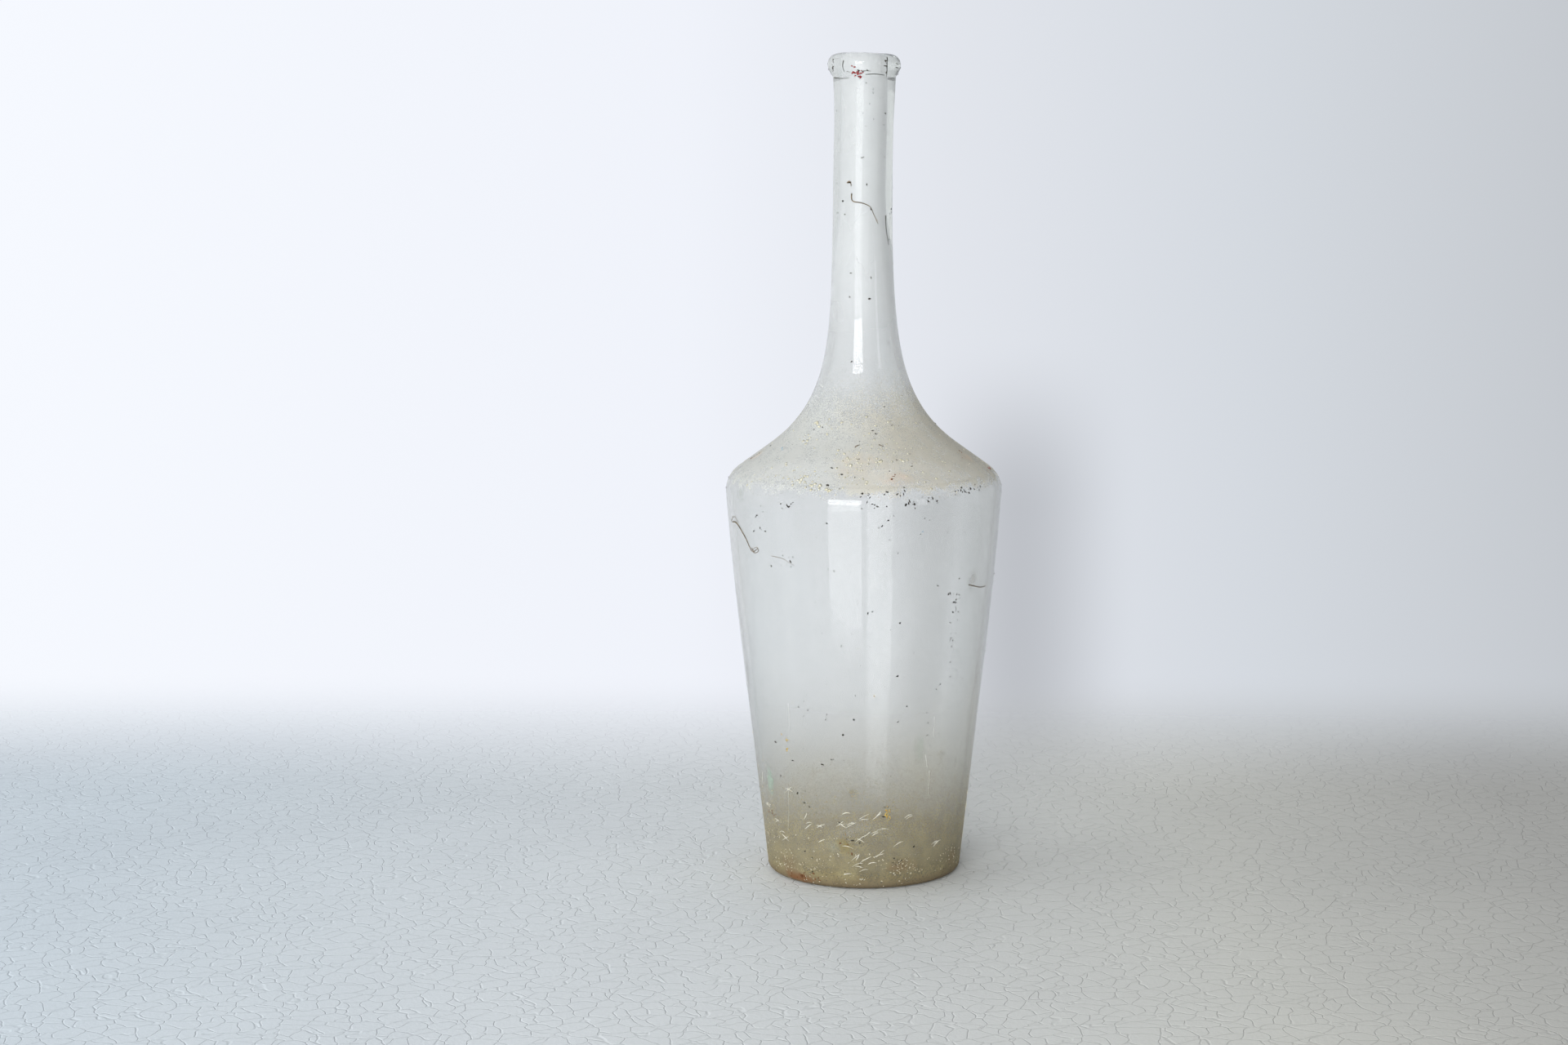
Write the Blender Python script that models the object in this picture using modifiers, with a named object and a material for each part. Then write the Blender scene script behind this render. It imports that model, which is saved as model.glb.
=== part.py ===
"""A clear glass bottle, blown and turned, with a tapering body and a long neck.

The bottle is one piece of glass: a pushed-up base on a flat resting ring, a
body that widens upwards, a rounded shoulder, a neck that flares out of it and
a rounded lip that was laid on round the mouth. It is empty, and open at the
mouth. Metres, +Z up, origin at the centre of the resting ring.
"""

import bpy
from math import cos, exp, pi, radians, sin, sqrt, tan

# Heights, from the table up
HEIGHT = 0.2742
SHOULDER_HEIGHT = 0.1293

# Body, outside
HEEL_RADIUS = 0.0327
HEEL_ROUND = 0.0020
SHOULDER_RADIUS = 0.0463
SHOULDER_ROUND = 0.0095
SHOULDER_SLOPE = radians(36.0)
SIDE_BULGE = 0.0007

# Neck, outside
NECK_RADIUS = 0.00985
NECK_FLARE = 0.0156
NECK_TOP_RADIUS = 0.0105
NECK_TOP_SWELL = 0.0190

# Lip, measured down from the mouth where it is a height
LIP_RADIUS = 0.0121
LIP_HEIGHT = 0.0081
LIP_WIDEST = 0.0040
LIP_LAND_RADIUS = 0.0073
LIP_SQUARENESS = 2.4

# Glass and hollow
BODY_WALL = 0.0026
BORE_RADIUS = 0.0050
MOUTH_ROUND = 0.0009
THICK_NECK = 0.0460
THICK_NECK_BLEND = 0.0360
FLOOR_GLASS = 0.0040
FLOOR_ROUND = 0.0050

# Base
REST_RING_WIDTH = 0.0055
PUSH_UP = 0.0115

# Facets
ROUND_SIDES = 56
SIDE_STEPS = 5
SHOULDER_STEPS = 5
FLARE_STEPS = 11
SWELL_STEPS = 3
ROUND_STEPS = 3
LIP_STEPS = 5
BASE_STEPS = 6


def smooth(share):
    """0 to 1 as share goes from 0 to 1, level at both ends."""
    share = min(max(share, 0.0), 1.0)
    return share * share * (3.0 - 2.0 * share)


def side_radius(height):
    """Outside radius of the body from heel to widest ring, fullest two thirds of the way up."""
    share = (height - HEEL_ROUND) / (SHOULDER_HEIGHT - HEEL_ROUND)
    straight = HEEL_RADIUS + (SHOULDER_RADIUS - HEEL_RADIUS) * share
    return straight + SIDE_BULGE * 6.75 * share**2 * (1.0 - share)


def shoulder_round():
    """Radius and height of the end of the shoulder's rounding, where its slope begins."""
    turn = pi / 2 - SHOULDER_SLOPE
    radius = SHOULDER_RADIUS - SHOULDER_ROUND * (1.0 - cos(turn))
    return radius, SHOULDER_HEIGHT + SHOULDER_ROUND * sin(turn)


def flare_start():
    """Radius and height where the straight slope turns into the neck's flare."""
    slope_radius, slope_height = shoulder_round()
    radius = NECK_RADIUS + NECK_FLARE / tan(SHOULDER_SLOPE)
    return radius, slope_height + (slope_radius - radius) * tan(SHOULDER_SLOPE)


def neck_radius(height):
    """Outside radius of the neck, which flares below and swells a little under the lip."""
    start_radius, start_height = flare_start()
    fade = exp((start_height - height) / NECK_FLARE)
    below_lip = HEIGHT - LIP_HEIGHT - height
    swell = max(0.0, 1.0 - below_lip / NECK_TOP_SWELL) ** 2
    return NECK_RADIUS + (start_radius - NECK_RADIUS) * fade + (NECK_TOP_RADIUS - NECK_RADIUS) * swell


def wall_at(height, outside):
    """Thickness of the glass: thin in the body, and as thick as the bore leaves in the neck."""
    full = HEIGHT - THICK_NECK
    share = smooth((height - full + THICK_NECK_BLEND) / THICK_NECK_BLEND)
    return BODY_WALL + (outside - BORE_RADIUS - BODY_WALL) * share


def arc(centre_radius, centre_height, size, start, end, steps):
    """Points of a round from start to end, angles from the horizontal, without the first."""
    angles = [start + (end - start) * step / steps for step in range(1, steps + 1)]
    return [(centre_radius + size * cos(a), centre_height + size * sin(a)) for a in angles]


def lip_outline():
    """The lip from the inner edge of its flat land, over the top and down to the neck."""
    land = LIP_LAND_RADIUS
    points = [(BORE_RADIUS + MOUTH_ROUND, HEIGHT), (land, HEIGHT)]
    for step in range(1, LIP_STEPS + 1):
        angle = pi / 2 * (1.0 - step / LIP_STEPS)
        out = cos(angle) ** (2.0 / LIP_SQUARENESS)
        up = sin(angle) ** (2.0 / LIP_SQUARENESS)
        points.append((land + (LIP_RADIUS - land) * out, HEIGHT - LIP_WIDEST * (1.0 - up)))
    for step in range(1, ROUND_STEPS + 1):
        share = step / ROUND_STEPS
        radius = LIP_RADIUS - (LIP_RADIUS - NECK_TOP_RADIUS) * share**2
        points.append((radius, HEIGHT - LIP_WIDEST - (LIP_HEIGHT - LIP_WIDEST) * share))
    return points


def neck_heights():
    """Heights down the neck: even in the swell under the lip, then closer towards the flare."""
    top = HEIGHT - LIP_HEIGHT
    bottom = flare_start()[1]
    run = top - NECK_TOP_SWELL - bottom
    swell = [top - NECK_TOP_SWELL * step / SWELL_STEPS for step in range(SWELL_STEPS)]
    return swell + [bottom + run * (1.0 - step / FLARE_STEPS) ** 1.4 for step in range(FLARE_STEPS + 1)]


def outside_outline():
    """Neck, shoulder and body from under the lip down to the top of the heel."""
    points = [(neck_radius(height), height) for height in neck_heights()[1:]]
    points.append(shoulder_round())
    centre = SHOULDER_RADIUS - SHOULDER_ROUND
    start = pi / 2 - SHOULDER_SLOPE
    points += arc(centre, SHOULDER_HEIGHT, SHOULDER_ROUND, start, 0.0, SHOULDER_STEPS)
    for step in range(1, SIDE_STEPS + 1):
        height = SHOULDER_HEIGHT + (HEEL_ROUND - SHOULDER_HEIGHT) * step / SIDE_STEPS
        points.append((side_radius(height), height))
    return points


def push_up_rise(radius, width):
    """Share of the push-up's full rise at a radius, level at its rim and its middle."""
    return smooth(1.0 - radius / width)


def underside_outline():
    """Heel, resting ring and push-up, in to the axis."""
    points = arc(HEEL_RADIUS - HEEL_ROUND, HEEL_ROUND, HEEL_ROUND, 0.0, -pi / 2, ROUND_STEPS)
    width = HEEL_RADIUS - HEEL_ROUND - REST_RING_WIDTH
    for step in range(BASE_STEPS):
        radius = width * (1.0 - step / BASE_STEPS)
        points.append((radius, PUSH_UP * push_up_rise(radius, width)))
    points.append((0.0, PUSH_UP))
    return points


def inset(points):
    """The outline moved in by the thickness of the glass, square to its own run."""
    moved = []
    for index in range(1, len(points) - 1):
        before, here, after = points[index - 1], points[index], points[index + 1]
        run = (after[0] - before[0], after[1] - before[1])
        length = sqrt(run[0] ** 2 + run[1] ** 2)
        wall = wall_at(here[1], here[0])
        moved.append((here[0] + run[1] / length * wall, here[1] - run[0] / length * wall))
    return moved


def inside_outline():
    """The hollow from the mouth down its wall and in over the floor to the axis."""
    points = [(BORE_RADIUS, HEIGHT - LIP_HEIGHT)]
    walls = [(NECK_TOP_RADIUS, HEIGHT - LIP_HEIGHT)] + outside_outline()
    points += [point for point in inset(walls) if point[1] > FLOOR_GLASS + FLOOR_ROUND]
    floor_edge = side_radius(FLOOR_GLASS + FLOOR_ROUND) - BODY_WALL
    points += arc(floor_edge - FLOOR_ROUND, FLOOR_GLASS + FLOOR_ROUND, FLOOR_ROUND, 0.1, -pi / 2, ROUND_STEPS)
    width = floor_edge - FLOOR_ROUND
    for step in range(1, BASE_STEPS):
        radius = width * (1.0 - step / BASE_STEPS)
        points.append((radius, FLOOR_GLASS + PUSH_UP * push_up_rise(radius, width)))
    points.append((0.0, FLOOR_GLASS + PUSH_UP))
    return points


def mouth_outline():
    """The small rounding between the bore and the lip's flat land, from the land inwards."""
    centre = BORE_RADIUS + MOUTH_ROUND
    return arc(centre, HEIGHT - MOUTH_ROUND, MOUTH_ROUND, pi / 2, pi, ROUND_STEPS)


def bottle_outline():
    """Half the bottle's section: up the inside from the axis, over the lip, down the outside."""
    inside = mouth_outline() + inside_outline()
    return inside[::-1] + lip_outline() + outside_outline() + underside_outline()


def glass():
    material = bpy.data.materials.new("clear glass")
    material.use_nodes = True
    shader = material.node_tree.nodes["Principled BSDF"]
    shader.inputs["Base Color"].default_value = (0.74, 0.77, 0.72, 1.0)
    shader.inputs["Roughness"].default_value = 0.12
    shader.inputs["Metallic"].default_value = 0.0
    shader.inputs["IOR"].default_value = 1.5
    shader.inputs["Transmission Weight"].default_value = 1.0
    return material


def turned(name, outline, material, collection):
    """An object whose surface is the outline turned once round the Z axis."""
    mesh = bpy.data.meshes.new(name)
    verts = [(radius, 0.0, height) for radius, height in outline]
    mesh.from_pydata(verts, [(i, i + 1) for i in range(len(verts) - 1)], [])
    mesh.materials.append(material)
    piece = bpy.data.objects.new(name, mesh)
    collection.objects.link(piece)
    screw = piece.modifiers.new("turn", "SCREW")
    screw.axis = "Z"
    screw.angle = 2.0 * pi
    screw.steps = ROUND_SIDES
    screw.render_steps = ROUND_SIDES
    screw.use_merge_vertices = True
    screw.merge_threshold = 0.00001
    screw.use_smooth_shade = True
    return piece


def main():
    for old in list(bpy.data.objects):
        bpy.data.objects.remove(old)
    collection = bpy.data.collections.new("glass bottle")
    bpy.context.scene.collection.children.link(collection)
    turned("bottle", bottle_outline(), glass(), collection)


main()
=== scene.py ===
"""An old clear glass bottle, hazed and stained by the soil that it lay in.

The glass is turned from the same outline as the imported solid, finely enough
for its rounds, with the slight bend and the waves of hand work. A film of haze
and soil lies over it, sediment covers the floor inside, and flakes, grains,
rootlets and stains cling to it. Small things are placed by the pixel of the
photograph where they show, and sit on the glass where that ray meets it.
"""

from math import atan2, cos, exp, hypot, pi, radians, sin, tan
from random import Random

import bpy
import numpy as np
from bpy.props import FloatProperty, FloatVectorProperty, PointerProperty
from mathutils import Matrix, Vector, noise
from mathutils.bvhtree import BVHTree


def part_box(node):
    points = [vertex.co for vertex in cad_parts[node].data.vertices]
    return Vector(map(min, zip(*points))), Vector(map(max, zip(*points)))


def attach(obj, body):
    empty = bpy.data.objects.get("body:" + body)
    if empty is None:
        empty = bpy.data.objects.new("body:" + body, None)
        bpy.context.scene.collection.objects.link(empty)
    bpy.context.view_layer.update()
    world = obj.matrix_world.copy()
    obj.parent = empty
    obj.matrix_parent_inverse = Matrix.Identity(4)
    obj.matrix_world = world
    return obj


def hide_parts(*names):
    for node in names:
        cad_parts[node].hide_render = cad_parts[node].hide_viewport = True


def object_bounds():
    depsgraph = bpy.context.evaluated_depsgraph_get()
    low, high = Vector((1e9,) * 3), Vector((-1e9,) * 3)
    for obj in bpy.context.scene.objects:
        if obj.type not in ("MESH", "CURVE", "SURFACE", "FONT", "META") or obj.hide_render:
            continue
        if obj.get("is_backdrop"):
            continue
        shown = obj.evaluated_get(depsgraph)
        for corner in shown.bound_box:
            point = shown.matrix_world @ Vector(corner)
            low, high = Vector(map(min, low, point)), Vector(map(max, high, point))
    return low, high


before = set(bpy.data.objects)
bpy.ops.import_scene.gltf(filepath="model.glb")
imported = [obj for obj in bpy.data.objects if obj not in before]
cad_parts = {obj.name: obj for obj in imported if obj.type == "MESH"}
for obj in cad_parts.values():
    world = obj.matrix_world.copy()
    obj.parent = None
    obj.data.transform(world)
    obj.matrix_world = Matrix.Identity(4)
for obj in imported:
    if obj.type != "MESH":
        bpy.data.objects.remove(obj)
cad_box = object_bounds()

bl_info = {
    "name": "Old Glass Bottle",
    "version": (1, 0, 0),
    "blender": (4, 5, 0),
    "location": "View3D > Sidebar > Bottle",
    "description": "Makes an old clear glass bottle with haze, soil and sediment",
    "category": "Add Mesh",
}

# The bottle's outline, in metres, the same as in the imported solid
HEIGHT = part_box("bottle")[1].z
SHOULDER_HEIGHT = 0.1293
HEEL_RADIUS = 0.0327
HEEL_ROUND = 0.0020
SHOULDER_RADIUS = 0.0463
SHOULDER_ROUND = 0.0095
SHOULDER_SLOPE = radians(36.0)
SIDE_BULGE = 0.0007
NECK_RADIUS = 0.00985
NECK_FLARE = 0.0156
NECK_TOP_RADIUS = 0.0105
NECK_TOP_SWELL = 0.0190
LIP_RADIUS = 0.0121
LIP_HEIGHT = 0.0081
LIP_WIDEST = 0.0040
LIP_LAND_RADIUS = 0.0073
LIP_SQUARENESS = 2.4
BODY_WALL = 0.0026
BORE_RADIUS = 0.0050
MOUTH_ROUND = 0.0009
THICK_NECK = 0.0460
THICK_NECK_BLEND = 0.0360
FLOOR_GLASS = 0.0040
FLOOR_ROUND = 0.0050
REST_RING_WIDTH = 0.0055
PUSH_UP = 0.0115

# Hand work: waves a metre, how much slower they run along the bottle, the lip's droop, and seeds
WAVE_SCALE = 55.0
WAVE_STRETCH = 0.35
LIP_DROOP = 0.00045
LIP_ROLL = 0.00012
OUTSIDE_SEED = 0.0
INSIDE_SEED = 40.0

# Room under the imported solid's skin: the glass lies this deep, and the film between
GLASS_DEPTH = 0.00016
FILM_DEPTH = 0.00009
INNER_FILM_LIFT = 0.00007
WIDEST = SHOULDER_RADIUS - 0.00001

# Heights between which each film comes in or fades out
SOIL_EDGE = (0.1296, 0.1380)
SOIL_FADE = (0.138, 0.188)
DRY_SOIL = (0.05, 0.11)
DAMP_SOIL = (0.0, 0.062)
HEEL_CRUST = (0.001, 0.011)
HEEL_STAIN = (0.0005, 0.0052)
LOW_HAZE = (0.015, 0.070)
NECK_HAZE = (0.160, 0.215)
THICK_SEDIMENT = (0.004, 0.040)
THIN_SEDIMENT = (0.015, 0.080)
FLOOR_SEDIMENT = (0.008, 0.013)

# The photograph's frame and the camera that took it
PHOTO_WIDTH = 1920
PHOTO_HEIGHT = 1280
FOCAL_PIXELS = 3600.0
SENSOR_WIDTH = 36.0
CAMERA_AWAY = 0.977
CAMERA_HEIGHT = 0.265
CAMERA_PITCH = radians(8.55)
CAMERA_YAW = radians(1.57)
CAMERA_ROLL = radians(-0.25)

# Brightness of the room by how far a direction points to the right, from -1 to 1
ROOM_SHADES = (
    (-1.0, (0.58, 0.60, 0.62)),
    (-0.6, (0.74, 0.76, 0.79)),
    (-0.28, (0.92, 0.945, 1.0)),
    (-0.06, (0.87, 0.895, 0.96)),
    (0.03, (0.76, 0.785, 0.84)),
    (0.13, (0.66, 0.695, 0.745)),
    (0.25, (0.54, 0.565, 0.60)),
    (0.6, (0.58, 0.60, 0.62)),
    (1.0, (0.70, 0.71, 0.72)),
)

# The bottle's soft shadow in the room's light: middle and half width in X, top and its fade in Z, depth
SHADOW_MIDDLE = 0.052
SHADOW_HALF_WIDTH = 0.042
SHADOW_TOP = -0.085
SHADOW_FADE = 0.06
SHADOW_DEPTH = 0.30

# Colour of the table from its left to its right, by X in metres, with painted light: brighter and bluer at
# the left where the window lights it, darker and warmer to the right
TABLE_PAINTED_LIGHT = (
    (-0.45, (0.74, 0.82, 0.88)),
    (-0.27, (0.76, 0.84, 0.89)),
    (-0.10, (0.84, 0.88, 0.89)),
    (0.03, (0.80, 0.81, 0.78)),
    (0.12, (0.75, 0.745, 0.68)),
    (0.24, (0.55, 0.54, 0.50)),
    (0.45, (0.52, 0.515, 0.48)),
)

# The lamps: colour, usual distance, the height they face, and the window's place left of the front
DAYLIGHT = (0.97, 0.985, 1.0)
LAMP_AWAY = 2.2
LAMP_TARGET = 0.12
WINDOW_SIDE = -16.0

# Sides of every turned surface, a millimetre, and the size of the photograph's pixel at the bottle
SIDES = 168
MM = 0.001
PIXEL = 0.01 / 36.0

# The table's edges and top, and where it fades out towards them
TABLE_SIDE = 0.9
TABLE_FRONT = -0.285
TABLE_BACK = 0.38
TABLE_TOP = -0.0001
FADE_SIDE = (0.40, 0.85)
FADE_FRONT = (TABLE_FRONT, TABLE_FRONT + 0.08)
FADE_BACK = (0.09, 0.33)

# The camera doesn't see the glass past this angle from its front
HIDDEN_FROM = radians(82.0)

# Where small things show in the photograph, in its pixels: x, y, spread across, spread down, how many.
# Each bright chip has only its x and y.
PALE_FLAKES = (
    (985, 583, 16, 9, 34), (950, 580, 14, 8, 16), (1000, 530, 12, 12, 20), (1048, 566, 14, 10, 30),
    (1075, 545, 24, 14, 26), (1105, 566, 16, 10, 18), (1100, 590, 40, 5, 16),
    (1010, 596, 26, 4, 18), (1150, 575, 24, 12, 12), (1060, 520, 34, 12, 14), (920, 590, 14, 5, 8),
    (1036, 560, 4, 5, 8),
)
BIG_FLAKES = (
    (1105, 564, 1, 1, 2), (1050, 565, 2, 1, 2), (1040, 569, 2, 1, 2), (980, 586, 3, 2, 4),
    (1002, 594, 5, 2, 5), (1000, 520, 3, 5, 5), (965, 570, 3, 2, 2), (1012, 600, 4, 1, 3),
    (988, 540, 3, 2, 3), (1078, 560, 4, 3, 3),
)
PALE_CRUMBS = (
    (962, 1052, 9, 7, 60), (984, 1060, 14, 6, 46), (1105, 1064, 12, 6, 56), (1163, 1046, 7, 6, 40),
    (1030, 1078, 36, 4, 40), (1120, 1058, 30, 7, 34), (940, 1010, 5, 22, 34),
    (1052, 1060, 40, 10, 30), (1000, 1040, 30, 12, 26), (950, 1030, 10, 16, 30),
    (934, 965, 2, 16, 14),
)
# Bright chips are slivers of scale whose near-white colour is partly their own and partly a painted glint
BRIGHT_CHIPS = (
    (1005, 1012), (1031, 1011), (1042, 1010), (1036, 997), (1058, 1004), (1075, 998), (1062, 1022),
    (1072, 1022), (1054, 1030), (1006, 1030), (1038, 1038), (1076, 1048), (1060, 1053),
    (1050, 1050), (1038, 1071), (1068, 1058), (986, 1000), (952, 1006), (962, 1026), (1100, 1034),
    (1146, 1033), (990, 1012), (1052, 1062), (1112, 1000), (940, 985), (966, 968),
)
DARK_GRAINS = (
    (1175, 601, 6, 2, 16), (1195, 598, 4, 2, 6), (1140, 611, 6, 3, 8), (1118, 617, 7, 2, 8),
    (1072, 620, 10, 2, 8), (1054, 607, 8, 2, 7), (1111, 603, 14, 2, 8), (1019, 595, 12, 3, 5),
    (950, 618, 16, 3, 6), (928, 640, 4, 9, 9), (960, 685, 10, 4, 9), (1168, 742, 3, 10, 16),
    (1164, 790, 2, 14, 9), (1172, 790, 5, 26, 10), (1060, 640, 50, 14, 8), (1000, 545, 60, 24, 14),
    (1100, 550, 50, 24, 18), (1010, 870, 18, 16, 8), (1100, 880, 40, 40, 12),
    (1060, 760, 80, 60, 14), (1100, 1056, 5, 3, 9), (1040, 1020, 60, 26, 20), (1085, 990, 4, 2, 5),
    (1050, 330, 26, 60, 10), (1035, 180, 14, 50, 8), (1075, 200, 10, 50, 6),
    (1000, 940, 50, 30, 12), (1020, 83, 1, 5, 10), (1054, 87, 8, 1, 5), (1085, 80, 1, 7, 12),
    (1040, 223, 1, 1, 3), (1091, 262, 2, 10, 6),
)
RUST_GRAINS = (
    (983, 1074, 8, 3, 40), (945, 996, 3, 3, 8), (1035, 1038, 7, 8, 7), (1185, 560, 12, 5, 8),
    (1211, 574, 2, 2, 3), (1094, 586, 10, 4, 8),
)
YELLOW_GRAINS = (
    (957, 899, 0.8, 0.8, 2), (964, 906, 0.8, 1.2, 4), (963, 918, 0.8, 1.4, 5), (1070, 853, 1, 1, 2),
    (1085, 998, 1, 5, 14), (1090, 997, 1, 4, 8),
)
RED_GRAINS = (
    (1046, 81, 1.2, 0.8, 4), (1049, 90, 2.4, 1.3, 18), (1053, 93.5, 1.2, 0.7, 6),
    (1211, 574, 2, 2, 2),
)
BLUE_GRAINS = ((958, 549, 0.6, 1.6, 6), (1128, 652, 1, 1, 1))

# Stains in the film: x, y, half width, half height, how strong, colour
STAINS = (
    (980, 1075, 20, 5, 0.8, (0.21, 0.085, 0.03)),
    (1033, 1037, 12, 11, 0.55, (0.33, 0.26, 0.09)),
    (1063, 1004, 24, 12, 0.34, (0.40, 0.32, 0.18)),
    (1045, 973, 7, 7, 0.55, (0.30, 0.25, 0.15)),
    (1020, 1038, 9, 10, 0.35, (0.44, 0.48, 0.40)),
    (943, 956, 9, 18, 0.58, (0.34, 0.50, 0.38)),
    (1190, 712, 10, 14, 0.42, (0.40, 0.37, 0.30)),
    (1100, 587, 24, 8, 0.36, (0.80, 0.60, 0.46)),
    (1184, 560, 13, 8, 0.36, (0.78, 0.60, 0.43)),
    (1050, 568, 34, 18, 0.34, (0.72, 0.60, 0.42)),
    (1086, 998, 4, 9, 0.45, (0.66, 0.55, 0.14)),
    (906, 605, 8, 8, 0.5, (0.38, 0.41, 0.36)),
    (1105, 1061, 20, 8, 0.7, (0.27, 0.19, 0.10)),
    (966, 1058, 18, 12, 0.65, (0.25, 0.19, 0.11)),
    (1166, 1050, 12, 10, 0.65, (0.27, 0.20, 0.11)),
)
STAINS_BEHIND = 16

# Paths of thin things through the photograph's pixels
# Dark lines on the lip and the neck; those across the lip, along its lower edge and beside its highlight,
# are painted shade
LIP_LINES = (
    ((1085, 69), (1086, 80), (1085, 94)), ((1055, 87), (1061, 86.5), (1066, 87)),
    ((1060, 91), (1072, 90.5), (1083, 92)), ((1022, 95), (1031, 96), (1040, 95.5)),
    ((1033, 74), (1032, 80), (1034, 88)), ((1097, 77), (1100, 78)), ((1097, 82), (1100, 83)),
    ((1084, 264), (1085, 282), (1088, 300)),
)
NECK_ROOTLET = (
    (1043, 237), (1043, 244), (1046, 247), (1055, 248.5), (1065, 253), (1070, 263), (1075, 274),
)
NECK_CURL = ((1038, 224), (1040, 222), (1042, 224), (1042, 228))
BODY_ROOTLET = ((898, 639), (903, 641), (912, 656), (921, 675), (925, 674), (928, 672))
BODY_CLUMP = ((921, 671), (924, 677), (929, 675), (927, 670), (922, 673), (925, 676))
BODY_HOOK = ((896, 638), (897, 634), (900, 633), (904, 640))
BODY_STRAY = ((945, 681), (958, 684), (966, 689), (973, 693))
SMUDGE_STRAND = ((1186, 716), (1194, 718), (1201, 719), (1207, 717))
SHOULDER_DASHES = (((1047, 548), (1050, 546), (1053, 545)), ((1076, 545), (1079, 546), (1082, 547)))
SCRATCHES = (
    ((965, 862), (966, 880), (966, 894)), ((965, 964), (966, 990), (965, 1018)),
    ((1144, 878), (1143, 902)), ((1133, 924), (1135, 940)), ((1138, 944), (1136, 974)),
    ((934, 946), (933, 962)),
)

# Bubbles in the glass: x, y, half width in millimetres
BUBBLES = (
    (1070, 109, 0.28), (1070, 113.5, 0.24), (1022, 330, 0.2), (1090, 420, 0.25), (1120, 800, 0.25),
    (960, 760, 0.2),
)
STRAY_BUBBLES = 26


def smooth(share):
    """0 to 1 as share goes from 0 to 1, level at both ends."""
    share = min(max(share, 0.0), 1.0)
    return share * share * (3.0 - 2.0 * share)


def colour_setting(name, description, default):
    """A colour that can be set in the panel."""
    return FloatVectorProperty(
        name=name, description=description, subtype="COLOR", size=3, min=0.0, max=1.0, default=default,
    )


def share_setting(name, description, default, least=0.0):
    """A share, at most 1, that can be set in the panel."""
    return FloatProperty(
        name=name, description=description, subtype="FACTOR", min=least, max=1.0, default=default,
    )


def length_setting(name, description, default, most):
    """A length in metres that can be set in the panel."""
    return FloatProperty(
        name=name, description=description, unit="LENGTH", min=0.0, max=most, default=default,
    )


def radiance_setting(name, description, default):
    """The brightness of a lamp's face that can be set in the panel."""
    return FloatProperty(name=name, description=description, min=0.0, default=default)


class GlassSettings(bpy.types.PropertyGroup):
    """The clear glass of the bottle."""

    tint: colour_setting("Tint", "Colour of light that has passed the glass", (0.95, 0.955, 0.95))
    clearness: share_setting("Clearness", "Share of light that passes and isn't scattered", 0.94, 0.5)
    outside_wave: length_setting("Outside wave", "Height of the waves of its outside", 0.00003, 0.0002)
    inside_wave: length_setting("Inside wave", "Unevenness of the wall, on its inside", 0.00013, 0.001)
    neck_bend: length_setting("Neck bend", "How far the neck's middle leans aside", 0.00038, 0.001)


class FilmSettings(bpy.types.PropertyGroup):
    """Haze and soil on the glass."""

    haze_colour: colour_setting("Haze", "Colour of the weathered haze", (0.62, 0.63, 0.625))
    soil_colour: colour_setting("Soil", "Colour of the dry soil film", (0.74, 0.66, 0.48))
    base_colour: colour_setting("Base soil", "Colour of the damp soil round the base", (0.31, 0.235, 0.085))
    haze_cover: share_setting("Haze cover", "How much of the light the haze catches", 0.20)
    soil_cover: share_setting("Soil cover", "How much of the light the soil on the shoulder catches", 0.56)


class StageSettings(bpy.types.PropertyGroup):
    """The lamps that light the room."""

    window_radiance: radiance_setting("Window", "Brightness of the tall window at the front left", 2.9)
    sky_radiance: radiance_setting("Sky", "Brightness of the window's upper part", 9.0)
    inside_radiance: radiance_setting(
        "Inside", "Brightness of the strip that the inside of the far wall mirrors", 4.5,
    )
    side_radiance: radiance_setting("Side", "Brightness of the wide soft light on the left", 1.6)
    right_radiance: radiance_setting("Right", "Brightness of the narrow window at the front right", 2.5)


# Outline


def side_radius(height):
    """Outside radius of the body from heel to widest ring."""
    share = (height - HEEL_ROUND) / (SHOULDER_HEIGHT - HEEL_ROUND)
    straight = HEEL_RADIUS + (SHOULDER_RADIUS - HEEL_RADIUS) * share
    return straight + SIDE_BULGE * 6.75 * share**2 * (1.0 - share)


def shoulder_round():
    """Radius and height of the end of the shoulder's rounding, where its slope begins."""
    turn = pi / 2 - SHOULDER_SLOPE
    radius = SHOULDER_RADIUS - SHOULDER_ROUND * (1.0 - cos(turn))
    return radius, SHOULDER_HEIGHT + SHOULDER_ROUND * sin(turn)


def flare_start():
    """Radius and height where the straight slope turns into the neck's flare."""
    slope_radius, slope_height = shoulder_round()
    radius = NECK_RADIUS + NECK_FLARE / tan(SHOULDER_SLOPE)
    return radius, slope_height + (slope_radius - radius) * tan(SHOULDER_SLOPE)


def neck_radius(height):
    """Outside radius of the neck, which flares below and swells a little under the lip."""
    start_radius, start_height = flare_start()
    fade = exp((start_height - height) / NECK_FLARE)
    swell = max(0.0, 1.0 - (HEIGHT - LIP_HEIGHT - height) / NECK_TOP_SWELL) ** 2
    return NECK_RADIUS + (start_radius - NECK_RADIUS) * fade + (NECK_TOP_RADIUS - NECK_RADIUS) * swell


def wall_at(height, outside):
    """Thickness of the glass: thin in the body, and as thick as the bore leaves in the neck."""
    share = smooth((height - (HEIGHT - THICK_NECK) + THICK_NECK_BLEND) / THICK_NECK_BLEND)
    return BODY_WALL + (outside - BORE_RADIUS - BODY_WALL) * share


def arc(centre_radius, centre_height, size, start, end, steps):
    """Points of a round from start to end, angles from the horizontal, without the first."""
    angles = [start + (end - start) * step / steps for step in range(1, steps + 1)]
    return [(centre_radius + size * cos(a), centre_height + size * sin(a)) for a in angles]


def line(start, end, steps):
    """Points of a straight run, without the first."""
    return [
        (start[0] + (end[0] - start[0]) * step / steps, start[1] + (end[1] - start[1]) * step / steps)
        for step in range(1, steps + 1)
    ]


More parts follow.
